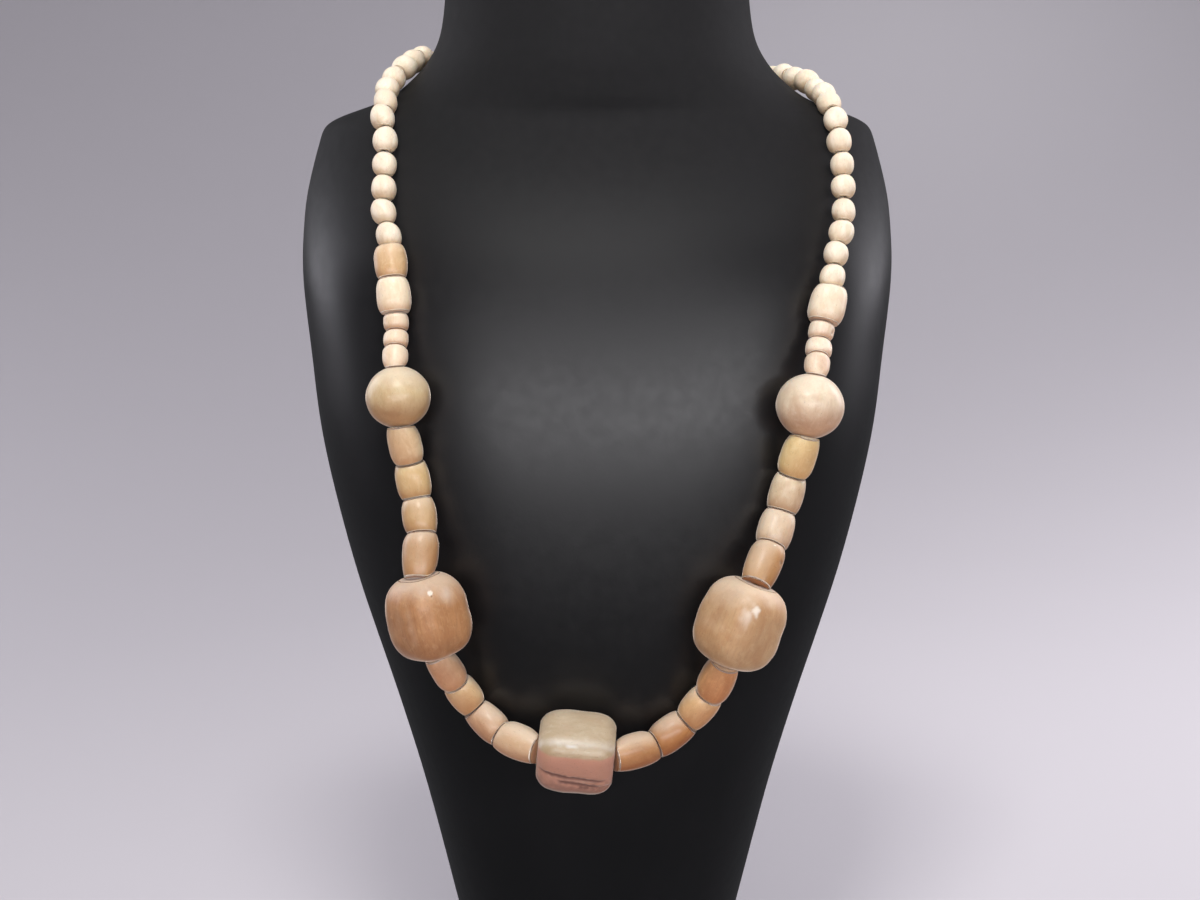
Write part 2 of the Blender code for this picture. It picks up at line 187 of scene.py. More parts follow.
def beadPlace(bead, out, halfWidth):
    # a bead's own axes: Z along its hole, X out of its front face
    start, end = alongUpwards(bead["start"], bead["end"])
    axis = (end - start).normalized()
    front = (out - axis * out.dot(axis)).normalized()
    turned = Matrix((front, axis.cross(front), axis)).transposed().to_4x4()
    return {
        "matrix": Matrix.Translation((start + end) / 2) @ turned,
        "half": (end - start).length / 2,
        "halfWidth": halfWidth,
        "bead": bead,
    }


def squareFront(ring, axis, wanted):
    # a block's corners reach farthest, so its faces lie an eighth of a turn from them
    first = axis.orthogonal().normalized()
    second = axis.cross(first)
    pull = 0
    for spoke in ring:
        pull += cmath.rect(spoke.length, 4 * math.atan2(spoke.dot(second), spoke.dot(first)))
    fronts = []
    for quarter in range(4):
        angle = cmath.phase(pull) / 4 + math.pi / 4 + quarter * math.pi / 2
        fronts.append(first * math.cos(angle) + second * math.sin(angle))
    return max(fronts, key=lambda front: front.dot(wanted))


def readBead(bead, square, wanted):
    # a large bead's place and half width, from its solid
    start, end = bead["start"], bead["end"]
    middle = (start + end) / 2
    axis = (end - start).normalized()
    shape = mergedShape(bead["name"])
    spokes = []
    ring = []
    for vert in shape.verts:
        along = (vert.co - middle).dot(axis)
        spoke = vert.co - middle - axis * along
        spokes.append(spoke)
        inside = spoke.length <= 2 * stringSettings["holeRadius"]
        if abs(along) < stringSettings["middleBand"] and not inside:
            ring.append(spoke)
    shape.free()
    if not square:
        return beadPlace(bead, wanted, max(spoke.length for spoke in spokes))
    front = squareFront(ring, axis, wanted)
    return beadPlace(bead, front, max(abs(spoke.dot(front)) for spoke in spokes))


# The loop of beads in turn

# a hard bead's ends keep their own faces, and soft beads wear flat on them
hardKinds = ("centre", "block", "ball")
softKinds = ("barrel", "spacer", "small")


def kindOf(name):
    for kind in hardKinds + softKinds:
        if "_" + kind + "_" in "_" + name:
            return kind
    return None


def boxMiddle(name):
    low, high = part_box(name)
    return (Vector(low) + Vector(high)) / 2


def largeRun():
    # the large beads in the order in which the thread runs through them
    middles = {name: boxMiddle(name) for name in nodes if kindOf(name) not in (None, "small")}
    stops = threadMiddles()
    run = []
    for start, end in zip(stops[0::2], stops[1::2]):
        middle = (start + end) / 2
        far = {name: (place - middle).length for name, place in middles.items()}
        name = min(far, key=far.get)
        run.append({"name": name, "kind": kindOf(name), "start": start, "end": end})
    return run


def reachTo(run, spot):
    # how far a run of beads starts or ends from a spot
    return min((run[0]["start"] - spot).length, (run[-1]["end"] - spot).length)


def ledFrom(run, spot):
    # a run of beads turned so that it starts at a spot
    if (run[0]["start"] - spot).length <= (run[-1]["end"] - spot).length:
        return run
    return [{**bead, "start": bead["end"], "end": bead["start"]} for bead in reversed(run)]


def readLoop():
    # all beads in turn, each with its neighbours
    loop = largeRun()
    runs = [smallBeadEnds(name) for name in ("left_small_beads", "right_small_beads")]
    runs.sort(key=lambda run: reachTo(run, loop[-1]["end"]))
    for run in runs:
        loop += ledFrom(run, loop[-1]["end"])
    for bead, following in zip(loop, loop[1:] + loop[:1]):
        bead["after"] = following
        following["before"] = bead
    return loop


loopBeads = readLoop()
print("string read:", len(loopBeads), "beads")


# Turning a bead

# How full its outline is along the hole, the share of its width left flat at each end,
# how square it is across, and how fine its mesh is
beadForms = {
    "centre": {"fullness": 3.8, "flatEnd": 0.66, "squareness": 3.1, "around": 288, "along": 72},
    "block": {"fullness": 2.9, "flatEnd": 0.50, "squareness": 2.9, "around": 224, "along": 64},
    "ball": {"fullness": 2.0, "flatEnd": 0.28, "squareness": 2.0, "around": 112, "along": 56},
    "barrel": {"fullness": 2.8, "flatEnd": 0.79, "squareness": 2.15, "around": 88, "along": 32},
    "spacer": {"fullness": 3.2, "flatEnd": 0.72, "squareness": 2.0, "around": 80, "along": 18},
    "small": {"fullness": 2.3, "flatEnd": 0.46, "squareness": 2.0, "around": 40, "along": 18},
}

turning = {
    "rimRound": 0.42 * mm,
    "mouthRound": 0.32 * mm,
    "roundSteps": 3,
    "faceLoops": 3,  # loops over an end face between the hole and the rim
    "lumpSize": 5.5 * mm,
    "dentSize": 1.7 * mm,
    "sinking": 0.6,  # share of the lumps that is taken off all over, so that none stands proud
    "faceGap": 0.12 * mm,  # left between a worn end and the middle plane to the next bead
    "mostFill": 3.5 * mm,
    "mostCut": 0.1,  # share of its half length that a worn end may lose
    "freeFrom": 0.35,  # share of the half width over which the wear sets in around the hole
    "ringNear": 0.02 * mm,  # how far off a ring's corners may lie
}


def axisOf(bead):
    return (bead["end"] - bead["start"]).normalized()


def wornPlane(bead, other, spot, otherSpot, inverse):
    # the plane that a bead's end has worn flat against the next one's, in the bead's own axes
    if bead["kind"] in hardKinds:
        return None
    if other["kind"] in hardKinds:
        normal, point = axisOf(other), otherSpot
    else:
        normal, point = axisOf(bead) + axisOf(other), (spot + otherSpot) / 2
    return inverse @ point, inverse.to_3x3() @ normal


def wornPlanes(bead, matrix):
    # the planes of the upper and the lower end
    inverse = matrix.inverted()
    first = wornPlane(bead, bead["before"], bead["start"], bead["before"]["end"], inverse)
    second = wornPlane(bead, bead["after"], bead["end"], bead["after"]["start"], inverse)
    if (inverse @ bead["end"]).z > 0:
        return second, first
    return first, second


def wornHeight(plane, x, y, z, half):
    # moves a spot so that the bead's end lies in its plane, less and less towards the middle
    if plane is None:
        return z
    point, normal = plane
    side = math.copysign(1, z)
    level = point.z - ((x - point.x) * normal.x + (y - point.y) * normal.y) / normal.z
    fill = side * level - turning["faceGap"] - half
    fill = min(max(fill, -turning["mostCut"] * half), turning["mostFill"])
    return z + side * fill * (z / half) ** 2


def beadOutline(shape, form, place):
    # half an outline as a closed wire: over the end face, up the side, back in and down the hole
    hole = stringSettings["holeRadius"]
    half = place["half"]
    fullness = form["fullness"]
    cut = (1 - form["flatEnd"] ** fullness) ** (1 / fullness)
    side = []
    for i in range(form["along"] + 1):
        across = -math.cos(math.pi * i / form["along"])
        swell = (1 - abs(across * cut) ** fullness) ** (1 / fullness)
        side.append((place["halfWidth"] * swell, across * half))
    rim = side[0][0]
    steps = turning["faceLoops"]
    face = [(hole + (rim - hole) * i / steps, -half) for i in range(steps)]
    back = [(reach, half) for reach, _ in reversed(face)]
    points = [shape.verts.new((reach, 0, height)) for reach, height in face + side + back]
    edges = [shape.edges.new(pair) for pair in zip(points, points[1:] + points[:1])]
    return points + edges, rim


def roundRing(shape, verts, reach, half, width):
    # rounds off the ring of edges that lies at this reach on both end faces
    shape.edges.index_update()
    near = turning["ringNear"]
    ring = {vert for vert in verts
            if abs(abs(vert.co.z) - half) < near and abs(vert.co.xy.length - reach) < near}
    edges = {edge for vert in ring for edge in vert.link_edges if edge.other_vert(vert) in ring}
    bmesh.ops.bevel(
        shape, geom=sorted(edges, key=lambda edge: edge.index), offset=width, offset_type="OFFSET",
        affect="EDGES", segments=turning["roundSteps"], profile=0.5, material=-1)


def squareReach(squareness, angle):
    # reach of a rounded square of half width 1 at an angle
    across = abs(math.cos(angle)) ** squareness
    along = abs(math.sin(angle)) ** squareness
    return (across + along) ** (-1 / squareness)


def spinBead(shape, form, place):
    # spins a bead's outline around its hole and rounds off its mouths and rims
    known = set(shape.verts)
    wire, rim = beadOutline(shape, form, place)
    bmesh.ops.spin(
        shape, geom=wire, cent=(0, 0, 0), axis=(0, 0, 1), angle=math.tau, steps=form["around"],
        use_merge=True, use_duplicate=False)
    rings = ((stringSettings["holeRadius"], turning["mouthRound"]), (rim, turning["rimRound"]))
    for reach, width in rings:
        spun = [vert for vert in shape.verts if vert not in known]
        roundRing(shape, spun, reach, place["half"], width)
    return [vert for vert in shape.verts if vert not in known]


def turnBead(shape, layers, place, form, wear, seed, marks=()):
    # one bead in the shape: spun, squared, worn unevenly, marked and put in place
    draw = random.Random(seed)
    offset = Vector([draw.uniform(-500, 500) for _ in range(3)])
    wobble = Matrix.Rotation(draw.uniform(-1, 1) * wear["tilt"], 4, "X")
    wobble @= Matrix.Rotation(draw.uniform(-1, 1) * wear["tilt"], 4, "Y")
    aside = [draw.uniform(-1, 1) * wear["slide"] for _ in range(2)]
    matrix = place["matrix"] @ Matrix.Translation((*aside, 0)) @ wobble
    upper, lower = wornPlanes(place["bead"], matrix)
    fresh = spinBead(shape, form, place)
    half = place["half"]
    mouth = stringSettings["holeRadius"] + turning["mouthRound"]
    fullyFree = turning["freeFrom"] * place["halfWidth"]
    oval = draw.uniform(-1, 1) * wear["oval"]
    taper = draw.uniform(-1, 1) * wear["taper"]
    bend = draw.uniform(-1, 1) * math.pi
    size = 1 - draw.uniform(0, 1) * wear["size"]
    for vert in fresh:
        x, y, z = vert.co
        reach = math.hypot(x, y)
        angle = math.atan2(y, x)
        free = min(max((reach - mouth) / fullyFree, 0), 1)
        spot = Vector((x, y, z))
        lump = noise.noise(spot / turning["lumpSize"] + offset)
        dent = noise.noise(spot / turning["dentSize"] - offset)
        rubbed = lump * wear["lumps"] + dent * wear["dents"] - wear["lumps"] * turning["sinking"]
        uneven = taper * z / half + oval * math.cos(2 * (angle + bend)) - abs(oval) + size - 1
        grow = 1 + free * (squareReach(form["squareness"], angle) - 1)
        grow *= 1 + free * rubbed
        grow *= 1 + free * uneven
        grow *= 1 - free * wear["narrowTop"] * (0.5 + 0.5 * z / half) ** 2
        x, y = x * grow, y * grow
        vert.co = Vector((x, y, wornHeight(upper if z > 0 else lower, x, y, z, half)))
        vert[layers["spot"]] = vert.co / mm + offset
        vert[layers["marks"]] = Vector((0, 0, 0))
    for mark in marks:
        cutMarkAndPaintLight(fresh, layers, mark, offset)
    bmesh.ops.transform(shape, matrix=matrix, verts=fresh)


# Marks, painted highlights and painted shade

markForm = {
    "slitEnds": 3,  # how sharply a slit runs out at its ends
    "slitCore": 0.7,  # share of its width that its ragged edge leaves
    "waverSize": 5 * mm,
    "least": 0.001,  # weaker marks are left out
}


def smoothStep(value):
    value = min(max(value, 0), 1)
    return value * value * (3 - 2 * value)


def markDepth(mark, across, run, edge):
    # how strongly a mark shows at a spot: a slit runs along the bead, a patch is an uneven oval
    if mark["kind"] == "slit":
        ends = smoothStep((1 - abs(run) / mark["length"]) * markForm["slitEnds"])
        width = mark["width"] * (markForm["slitCore"] + edge)
        return ends * math.exp(-2 * (across / width) ** 2)
    far = math.hypot(across / mark["width"], run / mark["length"])
    return smoothStep((1 - far + edge) * mark["crisp"])


def cutMarkAndPaintLight(verts, layers, mark, offset):
    # presses a mark in and notes its dirt, stain and paleness for the finish; some stains are painted
    # shade and some pale marks painted highlights
    turn = math.radians(mark["turn"])
    slope = math.tan(math.radians(mark["lean"]))
    for vert in verts:
        x, y, z = vert.co
        reach = math.hypot(x, y)
        if reach < 2 * stringSettings["holeRadius"]:
            continue
        run = z - mark["along"] * mm
        waver = noise.noise(Vector((z, 0, 0)) / markForm["waverSize"] + offset) * mark["waver"] * mm
        around = (math.atan2(y, x) - turn + math.pi) % math.tau - math.pi
        across = (around * reach + waver - run * slope) / mm
        edge = noise.noise(Vector((x, y, z)) / (mark["grain"] * mm) + offset) * mark["ragged"]
        deep = markDepth(mark, across, run / mm, edge)
        if deep <= markForm["least"]:
            continue
        vert.co -= Vector((x, y, 0)).normalized() * deep * mark["depth"] * mm
        old = vert[layers["marks"]]
        vert[layers["marks"]] = Vector([max(old[i], mark["colour"][i] * deep) for i in range(3)])


markDefaults = {
    "kind": "patch",
    "turn": 0.0,  # degrees around the hole from the front face
    "along": 0.0,  # mm up the hole from the middle
    "width": 2.0,  # mm to each side
    "length": 2.0,
    "lean": 0.0,  # degrees from the hole's own direction
    "depth": 0.0,  # mm pressed in
    "colour": (0.0, 0.0, 0.0),  # dirt; stain and painted shade; paleness and painted highlight
    "waver": 0.0,
    "ragged": 0.3,
    "grain": 1.5,
    "crisp": 1.5,
}


def marked(**changes):
    return {**markDefaults, **changes}


# Making a bead's piece

def newBeadShape():
    shape = bmesh.new()
    layers = {
        "spot": shape.verts.layers.float_vector.new("grainSpot"),
        "marks": shape.verts.layers.float_vector.new("boneMarksAndPaintedLight"),
    }
    return shape, layers


def finishBeads(name, shape, material, node):
    # makes the shape a piece that stands in for its solid
    bmesh.ops.recalc_face_normals(shape, faces=shape.faces)
    mesh = bpy.data.meshes.new(name)
    shape.to_mesh(mesh)
    shape.free()
    mesh.shade_smooth()
    mesh.materials.append(material)
    piece = bpy.data.objects.new(name, mesh)
    scene.collection.objects.link(piece)
    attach(piece, "root")
    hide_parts(node)


# Finishes

def newFinish(name):
    finish = bpy.data.materials.new(name)
    finish.use_nodes = True
    tree = finish.node_tree
    return finish, tree, tree.nodes["Principled BSDF"]


def setInput(tree, socket, value):
    if isinstance(value, bpy.types.NodeSocket):
        tree.links.new(value, socket)
    else:
        socket.default_value = value


def addNode(tree, kind, inputs, **settings):
    made = tree.nodes.new("ShaderNode" + kind)
    for name, value in settings.items():
        setattr(made, name, value)
    for name, value in inputs.items():
        setInput(tree, made.inputs[name], value)
    return made


def addNoise(tree, spot, scale, detail=4.0, rough=0.55, twist=0.0):
    values = {"Vector": spot, "Scale": scale, "Detail": detail, "Roughness": rough, "Distortion": twist}
    return addNode(tree, "TexNoise", values).outputs["Fac"]


def addMath(tree, operation, first, second=0.0, clamp=False):
    return addNode(tree, "Math", {0: first, 1: second}, operation=operation, use_clamp=clamp).outputs[0]


def addRange(tree, value, low, high, newLow=0.0, newHigh=1.0, smooth=True):
    values = {"Value": value, "From Min": low, "From Max": high, "To Min": newLow, "To Max": newHigh}
    kind = "SMOOTHSTEP" if smooth else "LINEAR"
    return addNode(tree, "MapRange", values, interpolation_type=kind).outputs["Result"]


def addMix(tree, share, first, second, blend="MIX"):
    if not isinstance(second, bpy.types.NodeSocket):
        second = (*second, 1.0)
    if not isinstance(first, bpy.types.NodeSocket):
        first = (*first, 1.0)
    mixed = addNode(tree, "Mix", {0: share, 6: first, 7: second}, data_type="RGBA", blend_type=blend)
    return mixed.outputs[2]


def addStretch(tree, spot, scale):
    return addNode(tree, "Mapping", {"Vector": spot, "Scale": scale}).outputs["Vector"]


def addShare(tree, value, low, high, most):
    # a value's smooth step between two limits, up to a greatest share
    return addRange(tree, value, low, high, 0.0, most)


def boneFinish(name, look):
    # polished bone: clouds, growth lines along the hole and pores, with painted light on the upward faces
    # and painted shade on the undersides
    finish, tree, shader = newFinish(name)
    spot = addNode(tree, "Attribute", {}, attribute_name="grainSpot").outputs["Vector"]
    marks = addNode(tree, "Attribute", {}, attribute_name="boneMarksAndPaintedLight").outputs["Vector"]
    dirt, stainAndShade, pale = addNode(tree, "SeparateXYZ", {"Vector": marks}).outputs
    normal = addNode(tree, "NewGeometry", {}).outputs["Normal"]
    rise = addNode(tree, "SeparateXYZ", {"Vector": normal}).outputs["Z"]
    cloudSpot = addStretch(tree, spot, (1.0, 1.0, 0.55))
    lineSpot = addStretch(tree, spot, (1.0, 1.0, 0.09))
    poreSpot = addStretch(tree, spot, (1.0, 1.0, 0.25))
    clouds = addNoise(tree, cloudSpot, look["cloudScale"], 5.0, 0.6, 0.8)
    lines = addNoise(tree, lineSpot, look["lineScale"], 5.0, 0.65, 0.25)
    mottle = addNoise(tree, spot, look["mottleScale"], 4.0, 0.55, 0.6)
    pores = addNoise(tree, poreSpot, look["poreScale"], 2.0, 0.5)
    tone = addMix(tree, addRange(tree, clouds, 0.34, 0.66), look["deep"], look["light"])
    tone = addMix(tree, addShare(tree, lines, 0.44, 0.70, look["lines"]), tone, look["line"])
    tone = addMix(tree, addShare(tree, mottle, 0.52, 0.72, look["mottle"]), tone, look["mottleTone"])
    # a bead's own multiplier: partly its own tone, partly painted light that falls off down the strand
    tone = addMix(tree, 1.0, tone, look["toneAndPaintedLight"], "MULTIPLY")
    # painted top light: faces turned upwards are mixed towards the pale tone
    worn = addRange(tree, rise, 0.15, 1.0, 0.0, look["paintedTopLight"])
    tone = addMix(tree, worn, tone, look["pale"])
    # painted shade: faces turned downwards are darkened and warmed by the shade tone
    paintedUndersideMask = addRange(tree, rise, 0.50, -0.75, 0.0, look["paintedUndersideShade"])
    tone = addMix(tree, paintedUndersideMask, tone, look["shade"], "MULTIPLY")
    # the stain channel is partly stains and partly painted shade
    cloudy = addMath(tree, "SUBTRACT", clouds, 0.5)
    blot = addMath(tree, "MULTIPLY", cloudy, addMath(tree, "MULTIPLY", stainAndShade, look["blots"]))
    stainedAndShaded = addRange(tree, addMath(tree, "ADD", stainAndShade, blot), 0.05, 1.0)
    tone = addMix(tree, stainedAndShaded, tone, look["stainAndShade"])
    tone = addMix(tree, addShare(tree, pores, 0.64, 0.74, look["pores"]), tone, look["dirt"])
    # pale marks, some of them painted highlights
    tone = addMix(tree, addRange(tree, pale, 0.05, 1.0), tone, look["paleMarkAndHighlight"])
    tone = addMix(tree, addRange(tree, dirt, 0.05, 0.9), tone, look["dirt"])
    setInput(tree, shader.inputs["Base Color"], tone)
    rough = addRange(tree, mottle, 0.3, 0.7, look["rough"] - 0.05, look["rough"] + 0.07, False)
    rough = addMath(tree, "ADD", rough, addMath(tree, "MULTIPLY", dirt, 0.4), True)
    setInput(tree, shader.inputs["Roughness"], rough)
    shader.inputs["IOR"].default_value = 1.54
    shader.inputs["Coat Weight"].default_value = look["coat"]
    shader.inputs["Coat Roughness"].default_value = look["coatRough"]
    shader.inputs["Sheen Weight"].default_value = look["sheen"]
    shader.inputs["Sheen Roughness"].default_value = look["sheenRough"]
    shader.inputs["Sheen Tint"].default_value = (*look["sheenTint"], 1.0)
    shader.inputs["Subsurface Weight"].default_value = look["glow"]
    shader.inputs["Subsurface Radius"].default_value = look["glowReach"]
    shader.inputs["Subsurface Scale"].default_value = look["glowDepth"]
    raised = addMath(tree, "MULTIPLY", lines, 0.6)
    height = addMath(tree, "SUBTRACT", raised, addMath(tree, "MULTIPLY", pores, 0.5))
    values = {"Height": height, "Strength": look["relief"], "Distance": look["reliefDepth"]}
    bump = addNode(tree, "Bump", values)
    setInput(tree, shader.inputs["Normal"], bump.outputs["Normal"])
    return finish


# Bone tones

boneLook = {
    "cloudScale": 0.15,
    "lineScale": 1.3,
    "mottleScale": 0.55,
    "poreScale": 4.5,
    "lines": 0.22,
    "mottle": 0.35,
    "pores": 0.35,
    "blots": 1.2,  # how unevenly the stain and its painted shade take
    "paintedTopLight": 0.55,  # how far the upward faces are paled: painted top light
    "paintedUndersideShade": 0.90,  # how far the undersides are darkened and warmed by the shade tone: painted shade
    "toneAndPaintedLight": (1.0, 1.0, 1.0),
    "rough": 0.36,
    "coat": 0.40,
    "coatRough": 0.28,
    "sheen": 0.80,
    "sheenRough": 0.30,
    "sheenTint": (1.0, 0.90, 0.80),
    "glow": 0.12,  # light that bone lets in under its surface
    "glowReach": (1.0, 0.42, 0.20),
    "glowDepth": 2.0 * mm,
    "relief": 0.40,
    "reliefDepth": 0.12 * mm,
    "dirt": (0.075, 0.036, 0.020),
    # the tone of the painted top light on upward faces
    "pale": (0.86, 0.76, 0.62),
    "paleMarkAndHighlight": (0.88, 0.80, 0.68),
    "shade": (0.80, 0.54, 0.40),
}

boneTones = {
    "bone_cream": {
        "light": (0.84, 0.68, 0.50), "deep": (0.76, 0.57, 0.38), "line": (0.64, 0.44, 0.27),
        "mottleTone": (0.88, 0.76, 0.60), "stainAndShade": (0.52, 0.30, 0.16)},
    "bone_yellow": {
        "light": (0.74, 0.52, 0.30), "deep": (0.66, 0.43, 0.22), "line": (0.54, 0.32, 0.14),
        "mottleTone": (0.80, 0.63, 0.42), "stainAndShade": (0.45, 0.22, 0.09)},
    "bone_pink": {
        "light": (0.76, 0.54, 0.38), "deep": (0.64, 0.41, 0.27), "line": (0.54, 0.32, 0.20),
        "mottleTone": (0.82, 0.65, 0.50), "stainAndShade": (0.46, 0.22, 0.12)},
    "bone_tan": {
        "light": (0.74, 0.54, 0.35), "deep": (0.64, 0.42, 0.25), "line": (0.52, 0.31, 0.17),
        "mottleTone": (0.80, 0.64, 0.46), "stainAndShade": (0.42, 0.20, 0.09)},
    "bone_orange": {
        "light": (0.68, 0.42, 0.22), "deep": (0.57, 0.32, 0.15), "line": (0.46, 0.23, 0.09),
        "mottleTone": (0.75, 0.53, 0.32), "stainAndShade": (0.36, 0.15, 0.05)},
    "bone_brown": {
        "light": (0.55, 0.33, 0.19), "deep": (0.44, 0.24, 0.13), "line": (0.34, 0.17, 0.08),
        "mottleTone": (0.66, 0.48, 0.32), "stainAndShade": (0.30, 0.13, 0.06)},
    "bone_horn": {
        "light": (0.60, 0.49, 0.36), "deep": (0.50, 0.38, 0.25), "line": (0.38, 0.25, 0.15),
        "mottleTone": (0.66, 0.60, 0.50), "stainAndShade": (0.40, 0.17, 0.12)},
}


def lookFor(slot, changes):
    return {**boneLook, **boneTones[slot], **changes}


# Large beads

steadyWear = {
    "oval": 0.008, "taper": 0.012, "lumps": 0.018, "dents": 0.003,
    "size": 0.0, "tilt": 0.0, "slide": 0.0, "narrowTop": 0.0,
}

viewer = Vector((0, -1, 0.15))

# the centre bead shows two faces, and its marks count from the upper one
upperFace = Vector((0, -1, 1))

slotOf = {row["node"]: row["material_slot"] for row in frame["record"]["subparts"]}

# each bead's multiplier is partly its own tone and partly painted light: broadly, beads high on the
# strand are lightened and those low on it darkened, as the light falls off down the strand
beadLooks = {
    "centre_bead": {
        "toneAndPaintedLight": (0.86, 0.83, 0.74), "stainAndShade": (0.52, 0.25, 0.165), "paleMarkAndHighlight": (0.74, 0.71, 0.65),
        "dirt": (0.15, 0.060, 0.042),
        "pores": 0.5, "mottle": 0.45, "paintedTopLight": 0.2, "paintedUndersideShade": 0.7},
    "left_barrel_bead_1": {"toneAndPaintedLight": (0.84, 0.74, 0.64)},
    "left_barrel_bead_2": {"toneAndPaintedLight": (0.78, 0.69, 0.57)},
    "left_barrel_bead_3": {"toneAndPaintedLight": (0.90, 0.80, 0.60)},
    "left_barrel_bead_4": {"toneAndPaintedLight": (1.00, 0.94, 0.80)},
    "left_block_bead": {"toneAndPaintedLight": (0.93, 0.79, 0.59), "lines": 0.40, "paintedUndersideShade": 0.30, "paintedTopLight": 0.50,
                        "rough": 0.42, "coat": 0.15},
    "left_barrel_bead_5": {"toneAndPaintedLight": (0.68, 0.56, 0.46)},
    "left_barrel_bead_6": {"toneAndPaintedLight": (0.77, 0.71, 0.60)},
    "left_barrel_bead_7": {"toneAndPaintedLight": (0.94, 0.97, 0.85)},
    "left_barrel_bead_8": {"toneAndPaintedLight": (1.14, 1.25, 1.20)},
    "left_ball_bead": {"toneAndPaintedLight": (0.86, 0.92, 0.80)},
    "left_barrel_bead_9": {"toneAndPaintedLight": (1.10, 1.18, 1.20)},
    "left_barrel_bead_10": {"toneAndPaintedLight": (1.06, 1.18, 1.22)},
    "right_barrel_bead_1": {"toneAndPaintedLight": (0.75, 0.62, 0.47)},
    "right_barrel_bead_2": {"toneAndPaintedLight": (0.70, 0.52, 0.32)},
    "right_barrel_bead_3": {"toneAndPaintedLight": (1.12, 1.20, 1.18)},
    "right_barrel_bead_4": {"toneAndPaintedLight": (1.32, 1.25, 0.98)},
    "right_block_bead": {"toneAndPaintedLight": (0.74, 0.62, 0.48), "lines": 0.35, "paintedUndersideShade": 0.0, "paintedTopLight": 0.50,
                         "rough": 0.42, "coat": 0.15},
    "right_barrel_bead_5": {"toneAndPaintedLight": (0.70, 0.61, 0.45)},
    "right_barrel_bead_6": {"toneAndPaintedLight": (0.82, 0.78, 0.74), "lines": 0.45, "line": (0.52, 0.42, 0.34)},
    "right_barrel_bead_7": {"toneAndPaintedLight": (0.93, 1.06, 1.00)},
    "right_barrel_bead_8": {"toneAndPaintedLight": (1.16, 1.34, 1.24)},
    "right_ball_bead": {"toneAndPaintedLight": (1.02, 1.20, 1.25)},
    "right_spacer_bead_1": {"toneAndPaintedLight": (1.08, 1.20, 1.26)},
    "right_spacer_bead_2": {"toneAndPaintedLight": (1.16, 1.40, 1.55)},
    "right_spacer_bead_3": {"toneAndPaintedLight": (1.16, 1.38, 1.52)},
    "right_barrel_bead_9": {"toneAndPaintedLight": (1.06, 1.14, 1.20)},
}

beadWears = {
    "left_block_bead": {"narrowTop": 0.06},
    "right_block_bead": {"narrowTop": 0.04},
}

